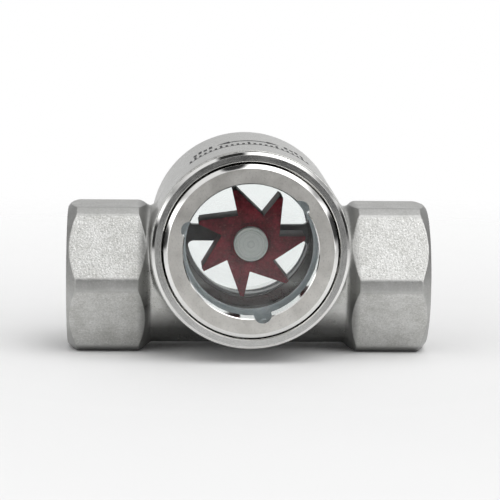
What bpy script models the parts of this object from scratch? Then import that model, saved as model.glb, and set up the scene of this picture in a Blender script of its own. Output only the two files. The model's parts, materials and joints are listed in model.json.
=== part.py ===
"""Paddle-wheel sight glass, pipe size 3/4 inch, modelled at full size in metres.

The flow runs along X between two hexagonal pipe ports. A barrel lies across it along Y and carries
a round window at each end. A seven-bladed impeller turns on a fixed pin on the barrel's axis, which
sits above the flow axis so that the flow drives the impeller's lower blades.
Z is up, and the two hexagons stand on the plane z = 0.
"""

from math import asin, cos, pi, radians, sin

import bmesh
import bpy

MM = 0.001

# Pipe ports, along X
LENGTH = 80.0 * MM  # end face to end face
HEX_FLATS = 32.0 * MM  # across the flats
HEX_LENGTH = 17.9 * MM
HEX_TURNED_RADIUS = 17.8 * MM  # the corners are turned down to this
HEX_END_RADIUS = 15.25 * MM
HEX_CHAMFER = 2.1 * MM  # measured along X
NECK_RADIUS = 15.0 * MM
FLOW_RADIUS = 9.0 * MM
THREAD_MINOR_RADIUS = 12.06 * MM  # G 3/4 female
THREAD_MOUTH_RADIUS = 13.5 * MM
THREAD_DEPTH = 16.0 * MM
FLOW_HEIGHT = HEX_FLATS / 2

# Barrel, along Y
WINDOW_OFFSET = 8.6 * MM  # the barrel's axis above the flow axis
WINDOW_HEIGHT = FLOW_HEIGHT + WINDOW_OFFSET
BARREL_RADIUS = 21.6 * MM
BARREL_LENGTH = 50.0 * MM
RIM_RADIUS = 21.3 * MM  # the machined end of the barrel
RIM_LENGTH = 1.6 * MM
RIM_CHAMFER = 0.6 * MM
CHAMBER_RADIUS = 14.4 * MM
GASKET_SEAT = 13.0 * MM  # from the middle plane to the inner side of each window
CARRIER_SEAT = 9.3 * MM  # from the middle plane, at the rear only
POCKET_RADIUS = 17.9 * MM  # holds the glass, its gaskets and the carrier
NUT_THREAD_RADIUS = 19.1 * MM  # M38 x 1.5, drawn with room for the ring nut
NUT_THREAD_START = 20.3 * MM  # from the middle plane

# What each end of the barrel holds, from the seat outwards
STACK_GAP = 0.1 * MM
SEAT_GASKET_THICKNESS = 0.9 * MM
GLASS_THICKNESS = 5.0 * MM
OUTER_GASKET_THICKNESS = 0.9 * MM
SLIP_WASHER_THICKNESS = 0.4 * MM
RING_NUT_FACE = 26.0 * MM  # from the middle plane
GLASS_RADIUS = 17.5 * MM
GLASS_BEVEL = 0.4 * MM
GASKET_OUTER_RADIUS = 17.4 * MM
SEAT_GASKET_INNER_RADIUS = 13.95 * MM
OUTER_GASKET_INNER_RADIUS = 15.9 * MM  # also the slip washer's

RING_NUT_RADIUS = 18.8 * MM
RING_NUT_BORE = 14.55 * MM
RING_NUT_CHAMFER = 0.85 * MM
RING_NUT_BORE_CHAMFER = 0.2 * MM
NOTCH_RADIUS = 1.95 * MM
NOTCH_CENTRE_RADIUS = 13.85 * MM
NOTCH_COUNT = 3
NOTCH_START = {"front": radians(41), "rear": radians(66)}  # seen from that end

# Impeller and its axle. (low, high) positions are along the axle, towards the front window.
AXLE_OFFSET = (0.4 * MM, -0.1 * MM)  # right and up from the barrel's axis, within the carrier's play
BLADES = 7
BLADE_TIP_RADIUS = 12.15 * MM
BLADE_ROOT_RADIUS = 6.5 * MM
BLADE_START = radians(4.6)  # middle of the first tip
BLADE_TIP_HALF = radians(2.0)
BLADE_ROOT_LEAD = radians(7.6)  # each root lies this far past the tip before it
IMPELLER_FRONT = 7.6 * MM
IMPELLER_BACK = -3.4 * MM
HUB_BACK = -8.3 * MM
HUB_RADIUS = 4.6 * MM
HUB_BORE = 3.1 * MM
RECESS_RADIUS = 4.4 * MM  # round the pin's head
RECESS_DEPTH = 0.6 * MM
BUSH_RADIUS = 3.0 * MM
BUSH_BORE = 2.1 * MM
BUSH_LENGTH = 4.5 * MM
PIN_RADIUS = 2.04 * MM
PIN_THREAD_RADIUS = 1.5 * MM
PIN_HEAD_RADIUS = 3.75 * MM
PIN_HEAD = (8.7 * MM, 11.2 * MM)
PIN_HEAD_RIM = 0.35 * MM
PIN_HEAD_DISH = 0.15 * MM
PIN_SHOULDER = -9.2 * MM
PIN_END = -13.95 * MM
THRUST_WASHER_RADIUS = 3.5 * MM
THRUST_WASHER_BORE = 2.2 * MM
FRONT_THRUST_WASHER = (7.1 * MM, 8.6 * MM)
REAR_THRUST_WASHER = (-9.1 * MM, -8.4 * MM)

# Carrier: a ring clamped under the rear seat gasket, with a bar across it that holds the pin
CARRIER_RING = (-12.9 * MM, -9.4 * MM)
CARRIER_OUTER_RADIUS = 17.4 * MM
CARRIER_INNER_RADIUS = 13.9 * MM
BAR = (-12.0 * MM, -9.5 * MM)
BAR_REACH = 15.5 * MM  # its ends are buried in the ring
BAR_HALF_HEIGHT = 1.85 * MM
BAR_FOOT_HALF = 2.9 * MM
BAR_FOOT_LENGTH = 3.2 * MM
BAR_BOSS_RADIUS = 4.2 * MM
BAR_BORE = 1.7 * MM
LOCK_WASHER = (-12.5 * MM, -12.1 * MM)
LOCK_WASHER_RADII = (1.65 * MM, 2.7 * MM)
LOCK_WASHER_SPLIT = radians(12)
LOCK_NUT = (-13.9 * MM, -12.6 * MM)
LOCK_NUT_FLATS = 5.5 * MM
LOCK_NUT_BORE = 1.6 * MM

LARGE_STEPS = 64  # sides of a circle as wide as the barrel
MIDDLE_STEPS = 48
SMALL_STEPS = 32
OVERRUN = 1.0 * MM  # how far a cutter runs past the face it opens


def clear_scene():
    for thing in list(bpy.data.objects):
        bpy.data.objects.remove(thing, do_unlink=True)


def material(name, colour, roughness, metallic):
    """A plain Principled material, made once and then shared."""
    found = bpy.data.materials.get(name)
    if found:
        return found
    made = bpy.data.materials.new(name)
    made.use_nodes = True
    shader = made.node_tree.nodes["Principled BSDF"]
    shader.inputs["Base Color"].default_value = (*colour, 1.0)
    shader.inputs["Roughness"].default_value = roughness
    shader.inputs["Metallic"].default_value = metallic
    return made


def cast_steel():
    return material("cast_steel", (0.55, 0.55, 0.54), 0.45, 1.0)


def turned_steel():
    return material("turned_steel", (0.62, 0.61, 0.59), 0.22, 1.0)


def window_glass():
    return material("window_glass", (0.86, 0.93, 0.93), 0.03, 0.0)


def gasket_white():
    return material("gasket_white", (0.78, 0.80, 0.80), 0.55, 0.0)


def impeller_red():
    return material("impeller_red", (0.20, 0.025, 0.03), 0.55, 0.0)


def bush_black():
    return material("bush_black", (0.03, 0.03, 0.03), 0.5, 0.0)


def empty(name, location, rotation=(0.0, 0.0, 0.0), parent=None):
    made = bpy.data.objects.new(name, None)
    bpy.context.scene.collection.objects.link(made)
    made.location = location
    made.rotation_euler = rotation
    made.parent = parent
    return made


def add_object(name, shape, finish, parent=None):
    """Makes an object from a bmesh, shaded smooth except at its sharp edges."""
    bmesh.ops.recalc_face_normals(shape, faces=shape.faces[:])
    mesh = bpy.data.meshes.new(name)
    shape.to_mesh(mesh)
    shape.free()
    mesh.shade_smooth()
    mesh.set_sharp_from_angle(angle=radians(30))
    if finish:
        mesh.materials.append(finish)
    made = bpy.data.objects.new(name, mesh)
    bpy.context.scene.collection.objects.link(made)
    made.parent = parent
    return made


def turned(profile, steps, turn=2 * pi):
    """Spins a closed profile of (radius, z) points about the local Z axis."""
    shape = bmesh.new()
    points = [shape.verts.new((radius, 0.0, z)) for radius, z in profile]
    sides = zip(points, points[1:] + points[:1])
    # A side that lies on the axis sweeps no face, so it is left out.
    edges = [shape.edges.new(side) for side in sides if any(v.co.x for v in side)]
    whole = turn > 2 * pi - 1e-6
    cap = None if whole else shape.faces.new(points)
    bmesh.ops.spin(
        shape,
        geom=points + edges + ([cap] if cap else []),
        cent=(0, 0, 0),
        axis=(0, 0, 1),
        angle=turn,
        steps=steps,
        use_merge=whole,
    )
    bmesh.ops.remove_doubles(shape, verts=shape.verts[:], dist=1e-7)
    bmesh.ops.dissolve_degenerate(shape, edges=shape.edges[:], dist=1e-7)
    return shape


def ring_profile(inner, outer, low, high):
    return [(inner, low), (outer, low), (outer, high), (inner, high)]


def prism(outline, low, high):
    """Extrudes a closed outline of (x, y) points along the local Z axis."""
    shape = bmesh.new()
    face = shape.faces.new([shape.verts.new((x, y, low)) for x, y in outline])
    lifted = bmesh.ops.extrude_face_region(shape, geom=[face])
    raised = [v for v in lifted["geom"] if isinstance(v, bmesh.types.BMVert)]
    bmesh.ops.translate(shape, verts=raised, vec=(0, 0, high - low))
    return shape


def regular_outline(flats, sides=6):
    """A regular outline with a flat side facing the local -Y axis."""
    radius = flats / 2 / cos(pi / sides)
    return [
        (radius * sin(pi / sides + 2 * pi * i / sides), -radius * cos(pi / sides + 2 * pi * i / sides))
        for i in range(sides)
    ]


def arc(radius, start, end, points):
    """Points along an arc, from start to end, as (x, y)."""
    return [
        (
            radius * cos(start + (end - start) * i / (points - 1)),
            radius * sin(start + (end - start) * i / (points - 1)),
        )
        for i in range(points)
    ]


def helper(thing):
    """Keeps a cutter or a shape that is joined to another out of the render."""
    thing.hide_render = True
    thing.display_type = "WIRE"
    return thing


def combine(target, other, operation):
    change = target.modifiers.new(f"{operation.lower()}_{other.name}", "BOOLEAN")
    change.operation = operation
    change.object = helper(other)
    change.solver = "EXACT"


def port_hexagon(name, frame):
    """One wrench hexagon, its corners turned down and both ends chamfered."""
    inner_end, outer_end = LENGTH / 2 - HEX_LENGTH, LENGTH / 2
    hexagon = add_object(
        name, prism(regular_outline(HEX_FLATS), inner_end, outer_end), None, frame
    )
    envelope = [
        (0.0, inner_end - OVERRUN),
        (NECK_RADIUS - OVERRUN, inner_end - OVERRUN),
        (HEX_END_RADIUS, inner_end),
        (HEX_TURNED_RADIUS, inner_end + HEX_CHAMFER),
        (HEX_TURNED_RADIUS, outer_end - HEX_CHAMFER),
        (HEX_END_RADIUS, outer_end),
        (NECK_RADIUS - OVERRUN, outer_end + OVERRUN),
        (0.0, outer_end + OVERRUN),
    ]
    combine(
        hexagon,
        add_object(f"{name}_envelope", turned(envelope, MIDDLE_STEPS), None, frame),
        "INTERSECT",
    )
    return hexagon


def mirrored(half):
    """Completes a cutter's profile from its half on the local +Z side, and closes it on the axis."""
    profile = [(radius, -z) for radius, z in reversed(half)] + half
    return [(0.0, profile[0][1])] + profile + [(0.0, profile[-1][1])]


def flow_bore(frame):
    """The cutter along the flow: the passage, and each port's thread and mouth."""
    face, floor = LENGTH / 2, LENGTH / 2 - THREAD_DEPTH
    half = [
        (FLOW_RADIUS, floor),
        (THREAD_MINOR_RADIUS, floor),
        (THREAD_MINOR_RADIUS, face - THREAD_MOUTH_RADIUS + THREAD_MINOR_RADIUS),
        (THREAD_MOUTH_RADIUS, face),
        (THREAD_MOUTH_RADIUS, face + OVERRUN),
    ]
    return add_object("flow_bore", turned(mirrored(half), MIDDLE_STEPS), None, frame)


def window_bore(frame):
    """The cutter along the barrel: chamber, both window pockets and the ring nuts' threads."""
    mouth = BARREL_LENGTH / 2 + OVERRUN
    profile = [
        (0.0, -mouth),
        (NUT_THREAD_RADIUS, -mouth),
        (NUT_THREAD_RADIUS, -NUT_THREAD_START),
        (POCKET_RADIUS, -NUT_THREAD_START),
        (POCKET_RADIUS, -CARRIER_SEAT),
        (CHAMBER_RADIUS, -CARRIER_SEAT),
        (CHAMBER_RADIUS, GASKET_SEAT),
        (POCKET_RADIUS, GASKET_SEAT),
        (POCKET_RADIUS, NUT_THREAD_START),
        (NUT_THREAD_RADIUS, NUT_THREAD_START),
        (NUT_THREAD_RADIUS, mouth),
        (0.0, mouth),
    ]
    return add_object("window_bore", turned(profile, LARGE_STEPS), None, frame)


def make_body(left, right, barrel_axis):
    """The casting: barrel, neck and both hexagons, bored through both ways."""
    end = BARREL_LENGTH / 2
    rear_half = [
        (BARREL_RADIUS, end - RIM_LENGTH),
        (RIM_RADIUS, end - RIM_LENGTH),
        (RIM_RADIUS, end - RIM_CHAMFER),
        (RIM_RADIUS - RIM_CHAMFER, end),
        (0.0, end),
    ]
    front_half = [(radius, -level) for radius, level in reversed(rear_half)]
    barrel = turned(front_half + rear_half, LARGE_STEPS)
    body = add_object("body", barrel, cast_steel(), barrel_axis)
    neck_reach = LENGTH / 2 - HEX_LENGTH / 2
    neck = ring_profile(0.0, NECK_RADIUS, -neck_reach, neck_reach)
    combine(body, add_object("neck", turned(neck, MIDDLE_STEPS), None, left), "UNION")
    for name, frame in (("left", left), ("right", right)):
        combine(body, port_hexagon(f"{name}_hexagon", frame), "UNION")
    combine(body, window_bore(barrel_axis), "DIFFERENCE")
    combine(body, flow_bore(right), "DIFFERENCE")


def make_ring_nut(side, back, frame):
    """A ring nut with a chamfered face and half-round spanner notches in its bore."""
    name = f"{side}_ring_nut"
    face = RING_NUT_FACE
    profile = [
        (RING_NUT_BORE, back),
        (RING_NUT_RADIUS, back),
        (RING_NUT_RADIUS, face - RING_NUT_CHAMFER),
        (RING_NUT_RADIUS - RING_NUT_CHAMFER, face),
        (RING_NUT_BORE + RING_NUT_BORE_CHAMFER, face),
        (RING_NUT_BORE, face - RING_NUT_BORE_CHAMFER),
    ]
    nut = add_object(name, turned(profile, LARGE_STEPS), turned_steel(), frame)
    for i in range(NOTCH_COUNT):
        angle = NOTCH_START[side] + 2 * pi * i / NOTCH_COUNT
        notch = turned(
            ring_profile(0.0, NOTCH_RADIUS, back - OVERRUN, face + OVERRUN), 16
        )
        cutter = add_object(f"{name}_notch_{i}", notch, None, frame)
        cutter.location = (NOTCH_CENTRE_RADIUS * cos(angle), NOTCH_CENTRE_RADIUS * sin(angle), 0.0)
        combine(nut, cutter, "DIFFERENCE")


def make_window(side, frame):
    """One window, from its seat outwards: gasket, glass, gasket, slip washer, ring nut."""
    level = GASKET_SEAT + STACK_GAP
    inner, outer = SEAT_GASKET_INNER_RADIUS, GASKET_OUTER_RADIUS
    seat_gasket = ring_profile(inner, outer, level, level + SEAT_GASKET_THICKNESS)
    add_object(f"{side}_seat_gasket", turned(seat_gasket, MIDDLE_STEPS), gasket_white(), frame)
    level += SEAT_GASKET_THICKNESS + STACK_GAP

    top = level + GLASS_THICKNESS
    disc = [
        (0.0, level),
        (GLASS_RADIUS - GLASS_BEVEL, level),
        (GLASS_RADIUS, level + GLASS_BEVEL),
        (GLASS_RADIUS, top - GLASS_BEVEL),
        (GLASS_RADIUS - GLASS_BEVEL, top),
        (0.0, top),
    ]
    add_object(f"{side}_glass", turned(disc, MIDDLE_STEPS), window_glass(), frame)
    level = top + STACK_GAP

    inner = OUTER_GASKET_INNER_RADIUS
    outer_gasket = ring_profile(inner, outer, level, level + OUTER_GASKET_THICKNESS)
    add_object(f"{side}_outer_gasket", turned(outer_gasket, MIDDLE_STEPS), gasket_white(), frame)
    level += OUTER_GASKET_THICKNESS + STACK_GAP

    washer = ring_profile(inner, outer, level, level + SLIP_WASHER_THICKNESS)
    add_object(f"{side}_slip_washer", turned(washer, MIDDLE_STEPS), turned_steel(), frame)
    level += SLIP_WASHER_THICKNESS + STACK_GAP

    make_ring_nut(side, level, frame)


def blade_outline():
    """The star of blades: a steep edge and a long sloping edge to each."""
    outline = []
    for i in range(BLADES):
        tip = BLADE_START + 2 * pi * i / BLADES
        for radius, angle in (
            (BLADE_TIP_RADIUS, tip - BLADE_TIP_HALF),
            (BLADE_TIP_RADIUS, tip + BLADE_TIP_HALF),
            (BLADE_ROOT_RADIUS, tip + BLADE_ROOT_LEAD),
        ):
            outline.append((radius * cos(angle), radius * sin(angle)))
    return outline


def make_impeller(axle):
    wheel = add_object(
        "impeller", prism(blade_outline(), IMPELLER_BACK, IMPELLER_FRONT), impeller_red(), axle
    )
    hub = ring_profile(0.0, HUB_RADIUS, HUB_BACK, IMPELLER_FRONT - OVERRUN)
    combine(wheel, add_object("hub", turned(hub, SMALL_STEPS), None, axle), "UNION")
    floor = IMPELLER_FRONT - RECESS_DEPTH
    bore = [
        (0.0, HUB_BACK - OVERRUN),
        (HUB_BORE, HUB_BACK - OVERRUN),
        (HUB_BORE, floor),
        (RECESS_RADIUS, floor),
        (RECESS_RADIUS, IMPELLER_FRONT + OVERRUN),
        (0.0, IMPELLER_FRONT + OVERRUN),
    ]
    combine(wheel, add_object("hub_bore", turned(bore, SMALL_STEPS), None, axle), "DIFFERENCE")
    ends = {
        "front_hub_bush": (floor - BUSH_LENGTH, floor),
        "rear_hub_bush": (HUB_BACK, HUB_BACK + BUSH_LENGTH),
    }
    for name, (low, high) in ends.items():
        bush = ring_profile(BUSH_BORE, BUSH_RADIUS, low, high)
        add_object(name, turned(bush, SMALL_STEPS), bush_black(), axle)


def make_axle(axle):
    """The fixed pin, its thrust washers, and the lock washer and nut behind the bar."""
    head_back, head_front = PIN_HEAD
    rim = PIN_HEAD_RADIUS - PIN_HEAD_RIM
    pin = [
        (0.0, PIN_END),
        (PIN_THREAD_RADIUS, PIN_END),
        (PIN_THREAD_RADIUS, PIN_SHOULDER),
        (PIN_RADIUS, PIN_SHOULDER),
        (PIN_RADIUS, head_back),
        (PIN_HEAD_RADIUS, head_back),
        (PIN_HEAD_RADIUS, head_front - PIN_HEAD_DISH),
        (PIN_HEAD_RADIUS - PIN_HEAD_DISH, head_front),
        (rim, head_front),
        (rim - PIN_HEAD_DISH, head_front - PIN_HEAD_DISH),
        (0.0, head_front - PIN_HEAD_DISH),
    ]
    add_object("axle_pin", turned(pin, SMALL_STEPS), turned_steel(), axle)
    washers = {
        "front_thrust_washer": FRONT_THRUST_WASHER,
        "rear_thrust_washer": REAR_THRUST_WASHER,
    }
    for name, (low, high) in washers.items():
        ring = ring_profile(THRUST_WASHER_BORE, THRUST_WASHER_RADIUS, low, high)
        add_object(name, turned(ring, SMALL_STEPS), gasket_white(), axle)
    split_ring = turned(
        ring_profile(*LOCK_WASHER_RADII, *LOCK_WASHER), SMALL_STEPS, 2 * pi - LOCK_WASHER_SPLIT
    )
    add_object("lock_washer", split_ring, turned_steel(), axle)
    nut = add_object(
        "lock_nut", prism(regular_outline(LOCK_NUT_FLATS), *LOCK_NUT), turned_steel(), axle
    )
    bore = ring_profile(0.0, LOCK_NUT_BORE, LOCK_NUT[0] - OVERRUN, LOCK_NUT[1] + OVERRUN)
    combine(nut, add_object("lock_nut_bore", turned(bore, 24), None, axle), "DIFFERENCE")


def bar_outline():
    """A bar that flares towards its ends, with a round boss in the middle."""
    waist = BAR_REACH - BAR_FOOT_LENGTH
    boss = asin(BAR_HALF_HEIGHT / BAR_BOSS_RADIUS)
    upper = [(BAR_REACH, -BAR_FOOT_HALF), (BAR_REACH, BAR_FOOT_HALF), (waist, BAR_HALF_HEIGHT)]
    upper += arc(BAR_BOSS_RADIUS, boss, pi - boss, 11)
    upper.append((-waist, BAR_HALF_HEIGHT))
    return upper + [(-x, -y) for x, y in upper]


def make_carrier(axle):
    ring = ring_profile(CARRIER_INNER_RADIUS, CARRIER_OUTER_RADIUS, *CARRIER_RING)
    carrier = add_object("axle_carrier", turned(ring, LARGE_STEPS), turned_steel(), axle)
    combine(carrier, add_object("bar", prism(bar_outline(), *BAR), None, axle), "UNION")
    bore = ring_profile(0.0, BAR_BORE, BAR[0] - OVERRUN, BAR[1] + OVERRUN)
    combine(carrier, add_object("bar_bore", turned(bore, 24), None, axle), "DIFFERENCE")


def main():
    clear_scene()
    flow_centre = (0.0, 0.0, FLOW_HEIGHT)
    window_centre = (0.0, 0.0, WINDOW_HEIGHT)
    # Each frame's local Z axis points out of the object, along the piece that it carries.
    right = empty("right_port", flow_centre, (pi / 2, 0.0, pi / 2))
    left = empty("left_port", flow_centre, (pi / 2, 0.0, -pi / 2))
    front = empty("front_window", window_centre, (pi / 2, 0.0, 0.0))
    rear = empty("rear_window", window_centre, (pi / 2, 0.0, pi))
    axle_centre = (AXLE_OFFSET[0], 0.0, WINDOW_HEIGHT + AXLE_OFFSET[1])
    axle = empty("impeller_axis", axle_centre, (pi / 2, 0.0, 0.0))

    make_body(left, right, front)
    make_window("front", front)
    make_window("rear", rear)
    make_carrier(axle)
    make_axle(axle)
    make_impeller(axle)


main()
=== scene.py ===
"""The looks of the paddle-wheel sight glass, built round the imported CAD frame.

The casting is meshed from a distance field, which gives it the soft inside corners of a casting.
Everything machined is turned or swept at a finer pitch. The flow runs along X, the front window
faces -Y, and Z is up. Lengths in this script are in millimetres until a mesh is made.
"""

import json
from math import asin, ceil, cos, hypot, pi, radians, sin, sqrt

import bmesh
import bpy
import numpy as np
from mathutils import Matrix, Vector


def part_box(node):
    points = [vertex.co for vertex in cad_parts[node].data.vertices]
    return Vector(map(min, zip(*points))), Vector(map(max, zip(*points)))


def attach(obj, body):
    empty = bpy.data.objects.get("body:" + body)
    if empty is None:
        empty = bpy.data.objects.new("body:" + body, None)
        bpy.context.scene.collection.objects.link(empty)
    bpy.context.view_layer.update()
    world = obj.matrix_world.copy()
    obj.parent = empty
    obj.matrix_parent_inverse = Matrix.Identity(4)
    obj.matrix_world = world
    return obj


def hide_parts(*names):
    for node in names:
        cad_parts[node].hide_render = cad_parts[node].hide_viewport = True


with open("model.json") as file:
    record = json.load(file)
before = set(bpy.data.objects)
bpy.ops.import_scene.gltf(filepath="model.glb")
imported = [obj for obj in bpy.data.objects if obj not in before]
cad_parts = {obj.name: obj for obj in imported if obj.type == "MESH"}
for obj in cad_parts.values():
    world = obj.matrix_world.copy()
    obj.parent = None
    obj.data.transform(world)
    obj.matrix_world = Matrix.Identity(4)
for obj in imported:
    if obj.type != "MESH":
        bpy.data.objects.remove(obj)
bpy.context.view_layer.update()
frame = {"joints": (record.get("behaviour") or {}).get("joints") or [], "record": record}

MM = 0.001
TURN = 2 * pi


def box_mm(node):
    """A CAD node's lowest and highest corners, in millimetres."""
    low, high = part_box(node)
    return [c / MM for c in low], [c / MM for c in high]


# Places, read from the frame
BODY_LOW, BODY_HIGH = box_mm("body")
HALF_LENGTH = BODY_HIGH[0]
RIM = BODY_HIGH[1]
AXLE_X, _, AXLE_Z = (c / MM for c in frame["joints"][0]["pos_m"])
AXLE = (AXLE_X, AXLE_Z)
NUT_LOW, NUT_HIGH = box_mm("front_ring_nut")
WINDOW_Z = (NUT_LOW[2] + NUT_HIGH[2]) / 2
WINDOW_AXIS = (0.0, WINDOW_Z)
OPENINGS = {o["name"]: o["box_m"] for o in frame["record"]["physics"]["openings"]}
PORT_LOW, PORT_HIGH = OPENINGS["left_port"]
FLOW_Z = (PORT_LOW[2] + PORT_HIGH[2]) / 2 / MM
BARREL_RADIUS = BODY_HIGH[2] - WINDOW_Z

# The casting
HEX_HALF_FLATS = FLOW_Z
HEX_LENGTH = 17.9
HEX_INNER_END = HALF_LENGTH - HEX_LENGTH
HEX_TURNED_RADIUS = 17.8
HEX_END_RADIUS = 15.25
HEX_CHAMFER = 2.1
HEX_EDGE = 0.12
HEX_FILLET = 1.1  # where the neck meets a hexagon
NECK_RADIUS = 15.0
NECK_FILLET = 3.0  # where the neck meets the barrel
FLOW_RADIUS = 9.0
CHAMBER_RADIUS = 14.4
CHAMBER_FRONT = -13.0
CHAMBER_BACK = 9.3
POCKET_RADIUS = 17.9
CAST_CORNER = 0.25  # radius of the casting's other edges
FIELD_STEP = 0.29
CAST_FACES = 196_000
RIM_RADIUS = 21.3  # the machined end of the barrel
RIM_LENGTH = 1.6
RIM_CHAMFER = 0.6
RIM_THREAD_LENGTH = 5.6

# Threads
PORT_MINOR = 12.06
PORT_MAJOR = 13.22
PORT_PITCH = 1.814
PORT_MOUTH = 13.5
PORT_DEPTH = 16.0
NUT_PITCH = 1.5
NUT_DEPTH = 0.55

# Gaskets
SEAT_GASKET_INNER = 13.95
OUTER_GASKET_INNER = 15.9  # also the slip washer's

# Impeller and carrier
BLADES = 7
BLADE_TIP_RADIUS = 12.15
BLADE_ROOT_RADIUS = 6.5
BLADE_START = radians(4.6)
BLADE_TIP_HALF = radians(2.0)
BLADE_ROOT_LEAD = radians(7.6)
BLADE_LENGTH = 11.0
HUB_RADIUS = 4.6
HUB_BORE = 3.1
RECESS_RADIUS = 4.4  # round the pin's head
RECESS_DEPTH = 0.6
CARRIER_INNER = 13.9
CARRIER_STEP = 0.25
CARRIER_FACES = 70_000
BAR_HALF_HEIGHT = 1.85
BAR_THICKNESS = 2.6
BAR_REACH = 15.5  # from the axle to the bar's end, inside the ring
BAR_FLARE_START = 12.3
BAR_FLARE_LENGTH = 1.6
BOSS_RADIUS = 4.2
BAR_BORE = 1.7

# Pin and what is on it
PIN_HEAD_LENGTH = 2.5
PIN_RADIUS = 2.04
PIN_SHOULDER = 9.2
PIN_THREAD_RADIUS = 1.5
PIN_THREAD_TIP = 1.2
THRUST_WASHER_BORE = 2.2
BUSH_BORE = 2.1
LOCK_WASHER_BORE = 1.65
LOCK_WASHER_SPLIT = radians(12)
LOCK_NUT_BORE = 1.6

# Ring nut
NUT_BORE = 14.55
NUT_BORE_CHAMFER = 0.2
NUT_CHAMFER = 0.85
NUT_RADIUS = 18.8
NOTCH_RADIUS = 1.95
NOTCH_CENTRE = 13.85
NOTCH_START = {"front": radians(41), "rear": radians(114)}  # both seen from the front
NOTCH_COUNT = 3
NUT_ROOM_RADIUS = NUT_RADIUS + 0.7  # of the casting round a nut, filled by the rim's thread
NUT_ROOM_START = 20.3  # from the middle plane

FLOOR_RADIUS = 0.32  # metres

# ---------------------------------------------------------------- node helpers


class Nodes:
    """A short way to write a material's node tree."""

    def __init__(self, name):
        self.material = bpy.data.materials.new(name)
        self.material.use_nodes = True
        self.tree = self.material.node_tree
        self.shader = self.tree.nodes["Principled BSDF"]
        self.place = None

    def add(self, kind, **settings):
        node = self.tree.nodes.new(kind)
        for key, value in settings.items():
            setattr(node, key, value)
        return node

    def link(self, source, target):
        self.tree.links.new(source, target)

    def feed(self, socket, value):
        """Links an output, or sets a plain value."""
        if isinstance(value, bpy.types.NodeSocket):
            self.link(value, socket)
        else:
            socket.default_value = value

    def position(self):
        """Object coordinates: metres in the object's own frame."""
        if self.place is None:
            self.place = self.add("ShaderNodeTexCoord").outputs["Object"]
        return self.place

    def scaled(self, x, y, z):
        """Object coordinates stretched along each axis."""
        node = self.add("ShaderNodeVectorMath", operation="MULTIPLY")
        self.link(self.position(), node.inputs[0])
        node.inputs[1].default_value = (x, y, z)
        return node.outputs[0]

    def math(self, operation, *values):
        node = self.add("ShaderNodeMath", operation=operation)
        for socket, value in zip(node.inputs, values):
            self.feed(socket, value)
        return node.outputs[0]

    def split(self, vector):
        node = self.add("ShaderNodeSeparateXYZ")
        self.link(vector, node.inputs[0])
        return node.outputs

    def join(self, x, y, z):
        node = self.add("ShaderNodeCombineXYZ")
        for socket, value in zip(node.inputs, (x, y, z)):
            self.feed(socket, value)
        return node.outputs[0]

    def noise(self, size, detail=3.0, roughness=0.55, vector=None):
        """Noise whose features are about this size in millimetres."""
        node = self.add("ShaderNodeTexNoise")
        node.inputs["Scale"].default_value = 1 / (size * MM)
        node.inputs["Detail"].default_value = detail
        node.inputs["Roughness"].default_value = roughness
        self.link(vector or self.position(), node.inputs["Vector"])
        return node.outputs["Fac"]

    def spread(self, value, low, high, start=0.0, end=1.0):
        """Maps low..high to start..end, clamped."""
        node = self.add("ShaderNodeMapRange")
        self.feed(node.inputs["Value"], value)
        for key, number in (("From Min", low), ("From Max", high), ("To Min", start), ("To Max", end)):
            node.inputs[key].default_value = number
        return node.outputs["Result"]

    def mix(self, factor, first, second):
        """Mixes two colours."""
        node = self.add("ShaderNodeMix", data_type="RGBA")
        self.feed(node.inputs["Factor"], factor)
        for socket, value in ((node.inputs[6], first), (node.inputs[7], second)):
            self.feed(socket, (*value, 1.0) if isinstance(value, tuple) else value)
        return node.outputs[2]

    def bump(self, height, depth, strength=1.0):
        """A bump whose full height is this depth in millimetres."""
        node = self.add("ShaderNodeBump")
        self.feed(node.inputs["Strength"], strength)
        node.inputs["Distance"].default_value = depth * MM
        self.link(height, node.inputs["Height"])
        return node.outputs["Normal"]

    def set(self, **values):
        """Sets or links the Principled shader's sockets, with _ for a space."""
        for key, value in values.items():
            self.feed(self.shader.inputs[key.replace("_", " ")], value)

    def round_axis(self, centre_x=0.0, centre_z=0.0, along_x=False):
        """(radius, angle, height) about a line along Y, or along X, in metres and radians."""
        x, y, z = self.split(self.position())
        across, height = (y, x) if along_x else (x, y)
        across = self.math("SUBTRACT", across, centre_x * MM)
        up = self.math("SUBTRACT", z, centre_z * MM)
        square = self.math("ADD", self.math("MULTIPLY", across, across), self.math("MULTIPLY", up, up))
        return self.math("SQRT", square), self.math("ARCTAN2", up, across), height


# ------------------------------------------------------------------- materials


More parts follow.
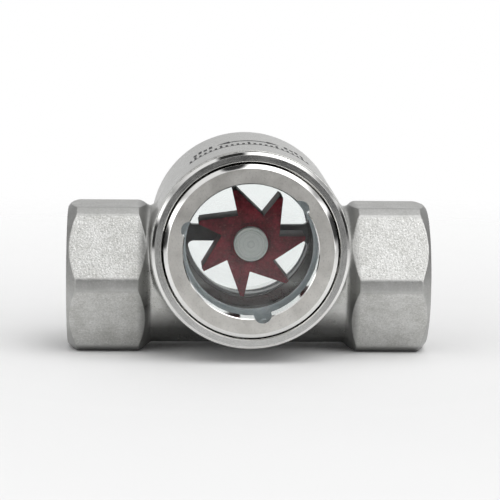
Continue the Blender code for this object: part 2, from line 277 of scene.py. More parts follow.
def cast_steel():
    """Stainless casting: blasted matt and grainy on the hexagons' flats and calmer where those were
    turned, smoother on the neck; painted glints strongest on the upper flats; painted shade where a
    hexagon meets the neck, low down and under the neck, and darkest in the chamber."""
    n = Nodes("cast_steel")
    clouds = n.noise(4.5, detail=5.0, roughness=0.6)
    grain = n.noise(0.4, detail=2.0, roughness=0.85)
    streaks = n.noise(1.0, detail=3.0, vector=n.scaled(0.35, 1.4, 1.4))
    radius, _, height = n.round_axis(*WINDOW_AXIS)
    place = n.split(n.position())
    outwards = n.math("SUBTRACT", n.math("ABSOLUTE", place["X"]), HEX_INNER_END * MM)
    grainy = n.spread(outwards, -0.5 * MM, 2.4 * MM)
    smooth = n.spread(grainy, 0, 1, 1.0, 0.0)
    tone = n.mix(n.spread(clouds, 0.34, 0.66), (0.46, 0.46, 0.44), (0.62, 0.62, 0.605))
    tone = n.mix(n.spread(streaks, 0.45, 0.75, 0.0, 0.4), tone, (0.66, 0.66, 0.65))

    # Turned: the hexagons' corners, and what faces along the flow
    facing = n.math("ABSOLUTE", n.split(n.add("ShaderNodeTexCoord").outputs["Normal"])["X"])
    from_flow = n.round_axis(0.0, FLOW_Z, along_x=True)[0]
    corner = n.spread(from_flow, (HEX_TURNED_RADIUS - 0.3) * MM, (HEX_TURNED_RADIUS - 0.1) * MM)
    machined = n.math("MULTIPLY", n.math("MAXIMUM", corner, n.spread(facing, 0.3, 0.5)),
                      n.spread(outwards, -0.2 * MM, 0.1 * MM))
    tone = n.mix(n.math("MULTIPLY", machined, 0.5), tone, (0.33, 0.33, 0.325))

    # Grain: dark specks, painted glints and the bump, strongest on the upper flats as painted light
    top_lit_grain = n.spread(place["Z"], (FLOW_Z - 1) * MM, (FLOW_Z + 1) * MM, 0.6, 1.0)
    top_lit_grain = n.math("MULTIPLY", top_lit_grain, n.spread(machined, 0.0, 1.0, 1.0, 0.35))
    amount = n.math("MULTIPLY", n.spread(grainy, 0, 1, 0.3, 1.0), top_lit_grain)
    speck = n.math("MULTIPLY", n.spread(grain, 0.33, 0.47, 0.8, 0.0), amount)
    painted_glint = n.math("MULTIPLY", n.spread(grain, 0.53, 0.67, 0.0, 0.65), amount)
    tone = n.mix(speck, tone, (0.33, 0.33, 0.32))
    tone = n.mix(painted_glint, tone, (0.86, 0.86, 0.85))

    # Painted shade: darker where a hexagon turns in to the neck, close to the floor and under the neck
    crevice_shade = n.math("MULTIPLY", n.spread(outwards, -0.9 * MM, 0.1 * MM, 0.0, 0.6),
                        n.spread(outwards, 1.1 * MM, 2.5 * MM, 1.0, 0.0))
    floor_contact_shade = n.math("MAXIMUM", n.spread(place["Z"], 0.2 * MM, 1.8 * MM, 0.85, 0.0),
                     n.spread(place["Z"], 0.0, 7.0 * MM, 0.2, 0.0))
    neck_underside_shade = n.math("MULTIPLY", smooth, n.spread(place["Z"], 5.5 * MM, 10.0 * MM, 0.85, 0.0))
    painted_shade = n.math("MAXIMUM", n.math("MAXIMUM", crevice_shade, floor_contact_shade), neck_underside_shade)
    tone = n.mix(painted_shade, tone, (0.11, 0.11, 0.107))

    # Painted shade in the chamber: its walls darkened, mottled by the clouds
    wall, mouth = CHAMBER_RADIUS * MM, -CHAMBER_FRONT * MM
    inside = n.math("MULTIPLY", n.spread(radius, wall + 0.05 * MM, wall + 0.2 * MM, 1.0, 0.0),
                    n.spread(n.math("ABSOLUTE", height), mouth - 0.1 * MM, mouth + 0.2 * MM, 1.0, 0.0))
    chamber_shade = n.mix(clouds, (0.035, 0.03, 0.029), (0.07, 0.063, 0.06))

    rough = n.math("ADD", n.spread(n.math("ADD", clouds, grain), 0.7, 1.3, 0.24, 0.38),
                   n.spread(grainy, 0, 1, 0.0, 0.06))
    rough = n.math("ADD", rough, n.math("MULTIPLY", inside, 0.25))
    n.set(Base_Color=n.mix(inside, tone, chamber_shade), Metallic=1.0, Roughness=rough,
          Normal=n.bump(grain, 0.15, n.math("MULTIPLY", n.spread(grainy, 0, 1, 0.15, 0.75), top_lit_grain)))
    return n.material


def stamped_steel():
    """The carrier: wet, dull stamped steel, with painted shade darkening the bar and a paler clamped ring.
    """
    n = Nodes("carrier_steel")
    stains = n.noise(3.0, detail=4.0)
    scratches = n.noise(0.4, detail=2.0, vector=n.scaled(0.3, 3.0, 3.0))
    radius = n.round_axis(*AXLE)[0]
    ring = n.spread(radius, (CARRIER_INNER - 0.1) * MM, (CARRIER_INNER + 0.1) * MM)
    level = n.math("ABSOLUTE", n.math("SUBTRACT", n.split(n.position())["Z"], AXLE_Z * MM))
    ring = n.math("MULTIPLY", ring, n.spread(level, 2.2 * MM, 4.0 * MM))
    # Painted shade: the bar's tone is darkened, mottled by the stains; the clamped ring is paler
    tone = n.mix(n.spread(stains, 0.3, 0.7), (0.13, 0.13, 0.132), (0.22, 0.22, 0.222))
    tone = n.mix(n.spread(scratches, 0.6, 0.8, 0.0, 0.5), tone, (0.28, 0.28, 0.28))
    unshaded_ring = n.mix(stains, (0.60, 0.62, 0.63), (0.78, 0.80, 0.81))
    rough = n.math("ADD", n.spread(stains, 0.3, 0.7, 0.3, 0.42), n.math("MULTIPLY", ring, 0.1))
    n.set(Base_Color=n.mix(ring, tone, unshaded_ring), Metallic=0.9, Roughness=rough,
          Normal=n.bump(scratches, 0.01, 0.4))
    return n.material


def turned_steel(name, centre_z, along_x=False, tones=((0.50, 0.49, 0.47), (0.62, 0.61, 0.58)),
                 roughness=(0.24, 0.36), lines=0.006, painted_edge_highlight=False):
    """Turned stainless steel: fine tool lines round the axis, and faint handling marks.

    With a painted edge highlight, the surfaces that don't face along the axis are smoother and painted
    paler.
    """
    n = Nodes(name)
    radius, angle, height = n.round_axis(0.0, centre_z, along_x)
    stretched = ((radius, 9.0), (angle, 0.004), (height, 9.0))
    swirl = n.join(*(n.math("MULTIPLY", value, scale) for value, scale in stretched))
    rings = n.noise(1.0, detail=2.0, roughness=0.6, vector=swirl)
    smears = n.noise(5.0, detail=4.0, roughness=0.6)
    fine = n.noise(0.35, detail=2.0)
    tone = n.mix(n.spread(smears, 0.3, 0.7), *tones)
    tone = n.mix(n.spread(rings, 0.4, 0.8, 0.0, 0.35), tone, (0.72, 0.71, 0.69))
    tone = n.mix(n.spread(fine, 0.3, 0.45, 0.3, 0.0), tone, (0.36, 0.35, 0.34))
    rough = n.spread(n.math("ADD", rings, smears), 0.7, 1.3, *roughness)
    if painted_edge_highlight:
        # Painted highlight: a paler tone on what doesn't face along the axis, such as chamfers and bores
        facing = n.split(n.add("ShaderNodeTexCoord").outputs["Normal"])["Y"]
        edge = n.spread(n.math("ABSOLUTE", facing), 0.80, 0.92, 1.0, 0.0)
        tone = n.mix(edge, tone, (0.86, 0.855, 0.84))
        rough = n.math("MULTIPLY", rough, n.spread(edge, 0.0, 1.0, 1.0, 0.18))
    n.set(Base_Color=tone, Metallic=1.0, Roughness=rough, Normal=n.bump(rings, lines, 0.6))
    return n.material


def window_glass():
    """Clear toughened glass with the faintest green in it, and a trace of dust."""
    n = Nodes("window_glass")
    dust = n.spread(n.noise(0.8, detail=4.0, roughness=0.7), 0.62, 0.8)
    n.set(Base_Color=n.mix(dust, (0.965, 0.985, 0.98), (0.92, 0.945, 0.945)),
          Roughness=n.math("MULTIPLY", dust, 0.02), Transmission_Weight=1.0, IOR=1.5)
    return n.material


def gasket_white():
    """White PTFE: waxy, slightly mottled, with skiving lines."""
    n = Nodes("gasket_white")
    radius, angle, height = n.round_axis(*WINDOW_AXIS)
    mottle = n.noise(1.6, detail=3.0)
    turned_place = n.join(n.math("MULTIPLY", radius, 6.0), n.math("MULTIPLY", angle, 0.003), height)
    grooves = n.noise(0.5, vector=turned_place)
    n.set(Base_Color=n.mix(n.spread(mottle, 0.3, 0.7), (0.76, 0.84, 0.89), (0.88, 0.94, 0.97)),
          Roughness=n.spread(mottle, 0.3, 0.7, 0.35, 0.5), Subsurface_Weight=0.15,
          Subsurface_Radius=(0.002, 0.002, 0.002), Subsurface_Scale=1.0,
          Normal=n.bump(grooves, 0.01, 0.5))
    return n.material


def impeller_red():
    """Dark red moulded plastic, mottled with wear, with painted grey-brown shade on the sides of the
    blades.
    """
    n = Nodes("impeller_red")
    mottle = n.noise(2.2, detail=5.0, roughness=0.7)
    fleck = n.noise(0.5, detail=2.0)
    tone = n.mix(n.spread(mottle, 0.36, 0.64), (0.18, 0.014, 0.024), (0.47, 0.040, 0.066))
    tone = n.mix(n.spread(fleck, 0.58, 0.72, 0.0, 0.6), tone, (0.50, 0.16, 0.16))
    tone = n.mix(n.spread(fleck, 0.28, 0.42, 0.7, 0.0), tone, (0.07, 0.014, 0.018))
    # Painted shade: grey-brown on the blade flanks, the faces that don't look along the axle
    facing = n.split(n.add("ShaderNodeTexCoord").outputs["Normal"])["Y"]
    flank_shade = n.spread(n.math("ABSOLUTE", facing), 0.5, 0.8, 0.7, 0.0)
    tone = n.mix(flank_shade, tone, n.mix(n.spread(mottle, 0.4, 0.6), (0.05, 0.038, 0.035), (0.17, 0.13, 0.12)))
    n.set(Base_Color=tone, Roughness=n.spread(mottle, 0.3, 0.7, 0.42, 0.58), Specular_IOR_Level=0.3,
          Normal=n.bump(n.math("ADD", fleck, mottle), 0.03, 0.6))
    return n.material


def pin_steel():
    """The pin's dull, slightly green-grey face, with fine turning rings."""
    n = Nodes("pin_steel")
    radius = n.round_axis(*AXLE)[0]
    rings = n.noise(1.0, detail=1.0, vector=n.join(n.math("MULTIPLY", radius, 2.2), 0.0, 0.0))
    smears = n.noise(1.6, detail=4.0)
    tone = n.mix(n.spread(smears, 0.3, 0.7), (0.86, 0.89, 0.86), (0.96, 0.98, 0.955))
    tone = n.mix(n.spread(rings, 0.45, 0.65, 0.0, 0.45), tone, (0.60, 0.64, 0.62))
    n.set(Base_Color=tone, Metallic=0.15, Roughness=n.spread(smears, 0.3, 0.7, 0.45, 0.6),
          Normal=n.bump(rings, 0.02, 0.7))
    return n.material


def bush_black():
    """Black bearing plastic with a fine grain."""
    n = Nodes("bush_black")
    grain = n.noise(0.3, detail=2.0)
    n.set(Base_Color=n.mix(grain, (0.02, 0.02, 0.021), (0.05, 0.05, 0.052)),
          Roughness=n.spread(grain, 0.3, 0.7, 0.4, 0.6), Normal=n.bump(grain, 0.01, 0.5))
    return n.material


def etched_mark():
    """The dark, slightly rough oxide that a marking laser leaves on steel."""
    n = Nodes("etched_mark")
    patchy = n.noise(0.25, detail=2.0)
    n.set(Base_Color=n.mix(n.spread(patchy, 0.35, 0.7), (0.02, 0.02, 0.022), (0.07, 0.07, 0.072)),
          Metallic=0.2, Roughness=0.65, Normal=n.bump(patchy, 0.01, 0.5))
    return n.material


# -------------------------------------------------------------------- geometry


def finish(name, mesh, look, body, replaces=()):
    """Makes the object, gives it its look and hangs it on its CAD body."""
    mesh.materials.clear()
    mesh.materials.append(look)
    piece = bpy.data.objects.new(name, mesh)
    bpy.context.scene.collection.objects.link(piece)
    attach(piece, body)
    if replaces:
        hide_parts(*replaces)
    return piece


def swept(name, rings, closed=True):
    """A mesh from an array of rings (ring, point, xyz) in millimetres, each ring joined to the next."""
    rings = np.asarray(rings, float)
    count, size = rings.shape[:2]
    mesh = bpy.data.meshes.new(name)
    last = count if closed else count - 1
    faces = [
        (i * size + j, ((i + 1) % count) * size + j,
         ((i + 1) % count) * size + (j + 1) % size, i * size + (j + 1) % size)
        for i in range(last) for j in range(size)
    ]
    mesh.from_pydata((rings.reshape(-1, 3) * MM).tolist(), [], faces)
    return mesh


def tidy(mesh, angle=18):
    """Merges doubles, faces the mesh outwards and shades it smooth but for sharp edges."""
    shape = bmesh.new()
    shape.from_mesh(mesh)
    bmesh.ops.remove_doubles(shape, verts=shape.verts, dist=1e-7)
    bmesh.ops.dissolve_degenerate(shape, edges=shape.edges, dist=1e-7)
    bmesh.ops.recalc_face_normals(shape, faces=shape.faces)
    if shape.calc_volume(signed=True) < 0:
        bmesh.ops.reverse_faces(shape, faces=shape.faces)
    shape.to_mesh(mesh)
    shape.free()
    mesh.shade_smooth()
    mesh.set_sharp_from_angle(angle=radians(angle))
    return mesh


def eased(profile, size=0.08):
    """Cuts each corner of a closed profile back by size, as a deburred edge."""
    points = [Vector(p) for p in profile]
    made = []
    for i, here in enumerate(points):
        before, after = points[i - 1], points[(i + 1) % len(points)]
        if here.x < 1e-6:
            made.append(here)
            continue
        for other in (before, after):
            reach = (other - here).length
            made.append(here + (other - here) * (min(size, reach * 0.4) / reach))
    return [tuple(p) for p in made]


def turned(name, profile, centre=WINDOW_AXIS, steps=160, ease=0.08):
    """Spins a closed profile of (radius, y) round an axis along Y, the barrel's or the axle's."""
    if ease:
        profile = eased(profile, ease)
    middle_x, middle_z = centre
    rings = []
    for i in range(steps):
        angle = TURN * i / steps
        rings.append([(middle_x + r * cos(angle), y, middle_z + r * sin(angle)) for r, y in profile])
    return tidy(swept(name, rings))


def ring_profile(node, inner):
    """The (radius, y) profile of a plain ring as long and as wide as a CAD node, with this bore."""
    low, high = box_mm(node)
    outer = (high[0] - low[0]) / 2
    return [(inner, low[1]), (outer, low[1]), (outer, high[1]), (inner, high[1])]


def smooth_least(a, b, blend):
    """The lesser of two distances, blended over this length where they meet."""
    share = np.clip(0.5 + 0.5 * (b - a) / blend, 0.0, 1.0)
    return b * (1 - share) + a * share - blend * share * (1 - share)


def smooth_most(a, b, blend):
    """The greater of two distances, blended in the same way."""
    return -smooth_least(-a, -b, blend)


def casting_field(x, y, z):
    """Distance to the casting's surface, negative inside the metal."""
    up = z - FLOW_Z
    from_flow = np.hypot(y, up)
    from_window = np.hypot(x, z - WINDOW_Z)
    along, depth = np.abs(x), np.abs(y)

    skin = BARREL_RADIUS - 0.02  # just under the marks, and inside the CAD box
    barrel = smooth_most(from_window - skin, depth - (RIM - RIM_LENGTH), CAST_CORNER)
    neck = np.maximum(from_flow - NECK_RADIUS, along - (HALF_LENGTH - HEX_LENGTH / 2))
    flats = smooth_most(np.abs(up), depth * cos(pi / 6) + np.abs(up) * 0.5, HEX_EDGE) - HEX_HALF_FLATS
    rise = HEX_TURNED_RADIUS - HEX_END_RADIUS
    slope = hypot(rise, HEX_CHAMFER)
    outward = ((along - HALF_LENGTH) * rise + (from_flow - HEX_END_RADIUS) * HEX_CHAMFER) / slope
    inward = ((HEX_INNER_END - along) * rise + (from_flow - HEX_END_RADIUS) * HEX_CHAMFER) / slope
    envelope = smooth_most(smooth_most(outward, inward, HEX_EDGE), from_flow - HEX_TURNED_RADIUS, HEX_EDGE)
    ends = smooth_most(along - HALF_LENGTH, HEX_INNER_END - along, HEX_EDGE)
    hexagon = smooth_most(smooth_most(flats, envelope, HEX_EDGE), ends, HEX_EDGE)
    solid = smooth_least(smooth_least(barrel, neck, NECK_FILLET), hexagon, HEX_FILLET)

    chamber = from_window - CHAMBER_RADIUS
    front_pocket = np.maximum(from_window - POCKET_RADIUS, y - CHAMBER_FRONT)
    back_pocket = np.maximum(from_window - POCKET_RADIUS, CHAMBER_BACK - y)
    flow = from_flow - FLOW_RADIUS
    port = np.maximum(from_flow - (PORT_MOUTH + 0.05), HALF_LENGTH - PORT_DEPTH - along)
    nut_room = np.maximum(from_window - NUT_ROOM_RADIUS, NUT_ROOM_START - depth)
    hollow = np.minimum(np.minimum(chamber, flow), np.minimum(front_pocket, back_pocket))
    hollow = np.minimum(hollow, np.minimum(port, nut_room))
    return smooth_most(solid, -hollow, CAST_CORNER)


def gradient(field, points, step=0.05):
    """The field's slope at each point, by central differences."""
    slope = np.empty_like(points)
    for axis in range(3):
        shift = np.zeros(3)
        shift[axis] = step
        slope[:, axis] = field(*(points + shift).T) - field(*(points - shift).T)
    return slope / (2 * step)


def drawn_in(field, points, reach, rounds=3):
    """Moves points along the slope onto the surface, no further than reach in all."""
    start = points.copy()
    for _ in range(rounds):
        slope = gradient(field, points)
        size = np.maximum((slope**2).sum(1), 0.05)
        points = points - slope * (field(*points.T) / size)[:, None]
        moved = points - start
        far = np.maximum(np.linalg.norm(moved, axis=1, keepdims=True) / reach, 1.0)
        points = start + moved / far
    return points


def surface(field, low, high, step):
    """Surface nets: one point in each cell that the surface crosses, joined into quads."""
    axes = [np.arange(a - step, b + 2 * step, step) for a, b in zip(low, high)]
    x, y, z = np.meshgrid(*axes, indexing="ij", sparse=True)
    values = np.ascontiguousarray(np.broadcast_to(field(x, y, z), [len(a) for a in axes]))
    inside = values < 0
    corners = [(i, j, k) for i in (0, 1) for j in (0, 1) for k in (0, 1)]

    def cells(array, corner):
        return array[tuple(slice(c, n - 1 + c) for c, n in zip(corner, array.shape))]

    count = sum(cells(inside, c).astype(np.int8) for c in corners)
    active = np.argwhere((count > 0) & (count < 8))
    number = np.full(count.shape, -1, np.int64)
    number[tuple(active.T)] = np.arange(len(active))

    total = np.zeros((len(active), 3))
    crossings = np.zeros(len(active))
    for corner in corners:
        for axis in range(3):
            if corner[axis]:
                continue
            other = tuple(c + (a == axis) for a, c in enumerate(corner))
            first = values[tuple((active + corner).T)]
            second = values[tuple((active + other).T)]
            cut = (first < 0) != (second < 0)
            where = np.where(cut, first / np.where(cut, first - second, 1.0), 0.0)
            at = np.tile(np.array(corner, float), (len(active), 1))
            at[:, axis] += where
            total += at * cut[:, None]
            crossings += cut
    points = (active + total / crossings[:, None]) * step + np.array([a[0] for a in axes])

    quads = []
    for axis in range(3):
        b, c = (axis + 1) % 3, (axis + 2) % 3
        start = [slice(1, n - 1) for n in values.shape]
        start[axis] = slice(0, values.shape[axis] - 1)
        following = list(start)
        following[axis] = slice(1, values.shape[axis])
        here, there = inside[tuple(start)], inside[tuple(following)]
        edges = np.argwhere(here != there)
        leaving = here[tuple(edges.T)]
        offset = np.ones(3, int)
        offset[axis] = 0
        base = edges + offset
        around = []
        for back_b, back_c in ((1, 1), (0, 1), (0, 0), (1, 0)):
            cell = base.copy()
            cell[:, b] -= back_b
            cell[:, c] -= back_c
            around.append(number[tuple(cell.T)])
        quad = np.stack(around, 1)
        quad[~leaving] = quad[~leaving][:, ::-1]
        quads.append(quad)
    return points, np.concatenate(quads)


def mesh_from_field(name, field, low, high, step, most_faces):
    """A mesh of a field's surface, thinned where it is flat, with normals from the field."""
    points, quads = surface(field, low, high, step)
    points = drawn_in(field, points, step)
    mesh = bpy.data.meshes.new(name)
    mesh.from_pydata(points.tolist(), [], quads.tolist())
    if 2 * len(quads) > most_faces:
        holder = bpy.data.objects.new(name, mesh)
        bpy.context.scene.collection.objects.link(holder)
        thin = holder.modifiers.new("thin", "DECIMATE")
        thin.ratio = most_faces / (2 * len(quads))
        evaluated = holder.evaluated_get(bpy.context.evaluated_depsgraph_get())
        thinned = bpy.data.meshes.new_from_object(evaluated)
        bpy.data.objects.remove(holder)
        bpy.data.meshes.remove(mesh)
        mesh = thinned
    points = np.empty(len(mesh.vertices) * 3)
    mesh.vertices.foreach_get("co", points)
    points = drawn_in(field, points.reshape(-1, 3), step * 0.5)
    slope = gradient(field, points)
    mesh.vertices.foreach_set("co", (points * MM).ravel())
    mesh.update()
    mesh.shade_smooth()
    normals = slope / np.linalg.norm(slope, axis=1, keepdims=True)
    mesh.normals_split_custom_set_from_vertices(normals.tolist())
    return mesh


# ----------------------------------------------------------------- the housing


def make_casting(look):
    """The body, but for what is machined on it: the rims and the port threads are pieces of their own."""
    mesh = mesh_from_field("casting", casting_field, BODY_LOW, BODY_HIGH, FIELD_STEP, CAST_FACES)
    finish("casting", mesh, look, "housing", ["body"])


def make_rim(name, side, look):
    """The machined end of the barrel, with the mouth of the ring nut's thread."""
    crest, half_depth = NUT_RADIUS + 0.08, 0.17
    bottom, foot = RIM - RIM_THREAD_LENGTH, RIM - RIM_LENGTH
    teeth = [(crest + half_depth * (1 - cos(TURN * k / 4)), bottom + NUT_PITCH * k / 4) for k in range(14)]
    profile = [(RIM_RADIUS - RIM_CHAMFER, RIM), (RIM_RADIUS, RIM - RIM_CHAMFER), (RIM_RADIUS, foot - 0.05),
               (RIM_RADIUS - 0.4, foot - 0.3), (crest + 1.2, bottom), *teeth,
               (crest + 0.32, RIM - 0.22), (crest + 0.5, RIM)]
    mesh = turned(name, [(a, side * b) for a, b in profile], steps=240, ease=0.04)
    finish(name, mesh, look, "housing")


def make_port_thread(name, side, look):
    """A port's helical pipe thread, from its mouth to its floor."""
    steps, pitch_points = 128, 10
    depth = PORT_MAJOR - PORT_MINOR
    count = int(PORT_DEPTH / PORT_PITCH * pitch_points)
    end = HALF_LENGTH - 0.03  # just inside the hexagon's end face
    outer = PORT_MOUTH + 0.35  # hidden in the casting's wall
    rings = []
    for i in range(steps):
        angle = TURN * i / steps
        ring = []
        for k in range(count + 1):
            x = PORT_DEPTH * k / count
            phase = (x / PORT_PITCH + i / steps) % 1.0
            # A V from 0 at the crest to 1 at the root, with a flat at each
            groove = min(1.0, max(0.0, 1.25 * (1 - abs(2 * phase - 1)) - 0.12))
            radius = max(PORT_MINOR + depth * groove, PORT_MOUTH - x)
            ring.append((side * (end - x), radius * cos(angle), FLOW_Z + radius * sin(angle)))
        for x in (PORT_DEPTH, 0.0):
            ring.append((side * (end - x), outer * cos(angle), FLOW_Z + outer * sin(angle)))
        rings.append(ring)
    finish(name, tidy(swept(name, rings), 50), look, "housing")


def notch_reach(angle, start):
    """How far out a spanner notch reaches at this angle, or 0 between notches."""
    for i in range(NOTCH_COUNT):
        off = (angle - start - TURN * i / NOTCH_COUNT + pi) % TURN - pi
        if abs(off) < asin(NOTCH_RADIUS / NOTCH_CENTRE):
            return NOTCH_CENTRE * cos(off) + sqrt(NOTCH_RADIUS**2 - (NOTCH_CENTRE * sin(off)) ** 2)
    return 0.0


def make_ring_nut(end, look):
    """A threaded ring with rounded spanner notches in its bore, which are cut through its length."""
    node = f"{end}_ring_nut"
    low, high = box_mm(node)
    side = -1 if end == "front" else 1
    back, face = sorted((side * low[1], side * high[1]))
    start = NOTCH_START[end]

    # Even steps, with closer ones across each notch and one just outside each of its corners
    steps, notch_steps = 240, 24
    width = asin(NOTCH_RADIUS / NOTCH_CENTRE)
    angles = {TURN * i / steps for i in range(steps)}
    for i in range(NOTCH_COUNT):
        middle = start + TURN * i / NOTCH_COUNT
        across = range(-notch_steps, notch_steps + 1)
        angles |= {(middle + width * sin(pi / 2 * k / notch_steps)) % TURN for k in across}
        angles |= {(middle + way * (width + 1e-4)) % TURN for way in (-1, 1)}

    shoulder, land, pitch_points = face - NUT_CHAMFER, 0.5, 6
    length = shoulder - land - back
    count = int(length / NUT_PITCH * pitch_points)
    rings = []
    chamfer = [(NUT_RADIUS - NUT_CHAMFER - 0.04, face), (NUT_RADIUS - NUT_CHAMFER + 0.03, face - 0.05),
               (NUT_RADIUS - 0.03, shoulder + 0.03), (NUT_RADIUS, shoulder - 0.05)]
    for angle in sorted(angles):
        reach = notch_reach(angle, start)
        bore = max(NUT_BORE, reach)
        inner = max(NUT_BORE + NUT_BORE_CHAMFER, reach)
        step = max(0.05, inner - bore)
        ring = [(bore + 0.1, back), (bore, back + 0.1), (bore, face - step), (inner, face), *chamfer]
        for k in range(count + 1):
            y = shoulder - land - length * k / count
            wave = 1 - cos(TURN * (y / NUT_PITCH + angle / TURN))
            ring.append((NUT_RADIUS - NUT_DEPTH / 2 * wave * min(1.0, 4.0 * k / count), y))
        rings.append([(r * cos(angle), side * y, WINDOW_Z + r * sin(angle)) for r, y in ring])
    piece = f"{end}_nut"
    finish(piece, tidy(swept(piece, rings)), look, "housing", [node])


def make_window(end, glass, gasket, steel):
    """The glass, both gaskets and the slip washer of one window."""
    low, high = box_mm(f"{end}_glass")
    radius = (high[0] - low[0]) / 2
    bevel = 0.4
    disc = [(0.0, low[1]), (radius - bevel, low[1]), (radius, low[1] + bevel),
            (radius, high[1] - bevel), (radius - bevel, high[1]), (0.0, high[1])]
    disc_mesh = turned(f"{end}_window", disc, steps=180, ease=0.0)
    finish(f"{end}_window", disc_mesh, glass, "housing", [f"{end}_glass"])
    rings = (("seat_gasket", SEAT_GASKET_INNER, gasket, "gasket_white", 0.3),
             ("outer_gasket", OUTER_GASKET_INNER, gasket, "gasket_white", 0.25),
             ("slip_washer", OUTER_GASKET_INNER, steel, "turned_steel", 0.05))
    for part, inner, look, slot, ease in rings:
        node = f"{end}_{part}"
        mesh = turned(f"{node}_ring", ring_profile(node, inner), ease=ease)
        finish(f"{node}_ring", mesh, look, "housing", [node])


# -------------------------------------------------------------- the mechanism


def carrier_field(x, y, z):
    """The ring clamped under the rear gasket, with the bar across it."""
    low, high = box_mm("axle_carrier")
    across, up = np.abs(x - AXLE_X), np.abs(z - AXLE_Z)
    radius = np.hypot(across, up)
    outer = (high[0] - low[0]) / 2
    ring = np.maximum(radius - outer, CARRIER_INNER - radius)
    ring = np.maximum(ring, np.maximum(low[1] - y, y - high[1]))
    flare = np.clip((across - BAR_FLARE_START) / BAR_FLARE_LENGTH, 0.0, 1.0) ** 2
    bar = np.maximum(up - (BAR_HALF_HEIGHT + flare), across - BAR_REACH)
    middle = smooth_least(bar, radius - BOSS_RADIUS, 0.8)
    middle = smooth_most(middle, np.maximum(low[1] + 0.1 - y, y - (low[1] + BAR_THICKNESS)), 0.2)
    return smooth_most(smooth_least(ring, middle, 0.5), BAR_BORE - radius, 0.1)


def make_carrier(look):
    """The axle carrier, stamped in one piece with its bar."""
    low, high = box_mm("axle_carrier")
    mesh = mesh_from_field("carrier", carrier_field, low, high, CARRIER_STEP, CARRIER_FACES)
    finish("carrier", mesh, look, "housing", ["axle_carrier"])


def make_pin(look):
    """The axle pin: a flat head with a groove just inside its rim, then the journal and the thread."""
    low, high = box_mm("axle_pin")
    radius, front = (high[0] - low[0]) / 2, low[1]
    groove, bottom = radius - 0.62, front + 0.38
    back, end = front + PIN_HEAD_LENGTH, high[1]
    profile = [(0.0, front + 0.06), (groove - 0.16, front + 0.06), (groove - 0.06, bottom),
               (groove + 0.12, bottom), (groove + 0.22, front + 0.03), (radius - 0.16, front),
               (radius - 0.04, front + 0.05), (radius, front + 0.18), (radius, back - 0.2),
               (radius - 0.15, back), (PIN_RADIUS, back), (PIN_RADIUS, PIN_SHOULDER),
               (PIN_THREAD_RADIUS, PIN_SHOULDER + 0.05), (PIN_THREAD_RADIUS, end - 0.3),
               (PIN_THREAD_TIP, end), (0.0, end)]
    finish("pin", turned("pin", profile, AXLE, 96, 0.0), look, "housing", ["axle_pin"])


def make_small_ring(node, inner, look, body):
    """A plain ring on the pin: a thrust washer or a bush."""
    mesh = turned(f"{node}_ring", ring_profile(node, inner), AXLE, 72)
    finish(f"{node}_ring", mesh, look, body, [node])


def make_lock_washer(look):
    """A ring with a split in it, closed by a flat face on each side of the split."""
    profile = eased(ring_profile("lock_washer", LOCK_WASHER_BORE), 0.06)
    steps = 60
    rings = []
    for i in range(steps + 1):
        angle = (TURN - LOCK_WASHER_SPLIT) * i / steps
        rings.append([(AXLE_X + r * cos(angle), y, AXLE_Z + r * sin(angle)) for r, y in profile])
    mesh = swept("split_washer", rings, closed=False)
    shape = bmesh.new()
    shape.from_mesh(mesh)
    bmesh.ops.holes_fill(shape, edges=[e for e in shape.edges if e.is_boundary], sides=0)
    shape.to_mesh(mesh)
    shape.free()
    finish("split_washer", tidy(mesh), look, "housing", ["lock_washer"])


def make_lock_nut(look):
    """A hexagon nut whose corners are turned off at both faces."""
    low, high = box_mm("lock_nut")
    wide, tall = high[0] - low[0], high[2] - low[2]
    half_flats = min(wide, tall) / 2
    first_flat = 0.0 if wide < tall else pi / 6
    bore, mouth = LOCK_NUT_BORE, LOCK_NUT_BORE + 0.1
    steps = 96
    rings = []
    for i in range(steps):
        angle = TURN * i / steps
        full = half_flats / cos((angle - first_flat + pi / 6) % (pi / 3) - pi / 6)
        crown = min(full, half_flats * 1.04)
        ring = [(bore, low[1] + 0.1), (mouth, low[1]), (crown, low[1]), (full, low[1] + 0.12),
                (full, high[1] - 0.12), (crown, high[1]), (mouth, high[1]), (bore, high[1] - 0.1)]
        rings.append([(AXLE_X + r * cos(angle), y, AXLE_Z + r * sin(angle)) for r, y in ring])
    finish("hex_nut", tidy(swept("hex_nut", rings), 25), look, "housing", ["lock_nut"])


def make_small_parts(gasket, steel, bush):
    """What is threaded on the pin besides the wheel and the carrier."""
    for end in ("front", "rear"):
        make_small_ring(f"{end}_thrust_washer", THRUST_WASHER_BORE, gasket, "housing")
        make_small_ring(f"{end}_hub_bush", BUSH_BORE, bush, "rotor")
    make_lock_washer(steel)
    make_lock_nut(steel)


def blade_outline():
    """The star, seen from the front: each blade has a steep edge and a long sloping one."""
    outline = []
    for i in range(BLADES):
        tip = BLADE_START + TURN * i / BLADES
        corners = ((BLADE_TIP_RADIUS, tip - BLADE_TIP_HALF), (BLADE_TIP_RADIUS, tip + BLADE_TIP_HALF),
                   (BLADE_ROOT_RADIUS, tip + BLADE_ROOT_LEAD))
        for radius, angle in corners:
            outline.append((AXLE_X + radius * cos(angle), AXLE_Z + radius * sin(angle)))
    return outline


def blank(name, mesh):
    """An object that only serves to make another."""
    thing = bpy.data.objects.new(name, mesh)
    bpy.context.scene.collection.objects.link(thing)
    return thing


def rod(name, radius, low, high):
    """A round bar on the axle, to add to the wheel or to take from it."""
    profile = [(0.0, low), (radius, low), (radius, high), (0.0, high)]
    return blank(name, turned(name, profile, AXLE, 96, 0.0))


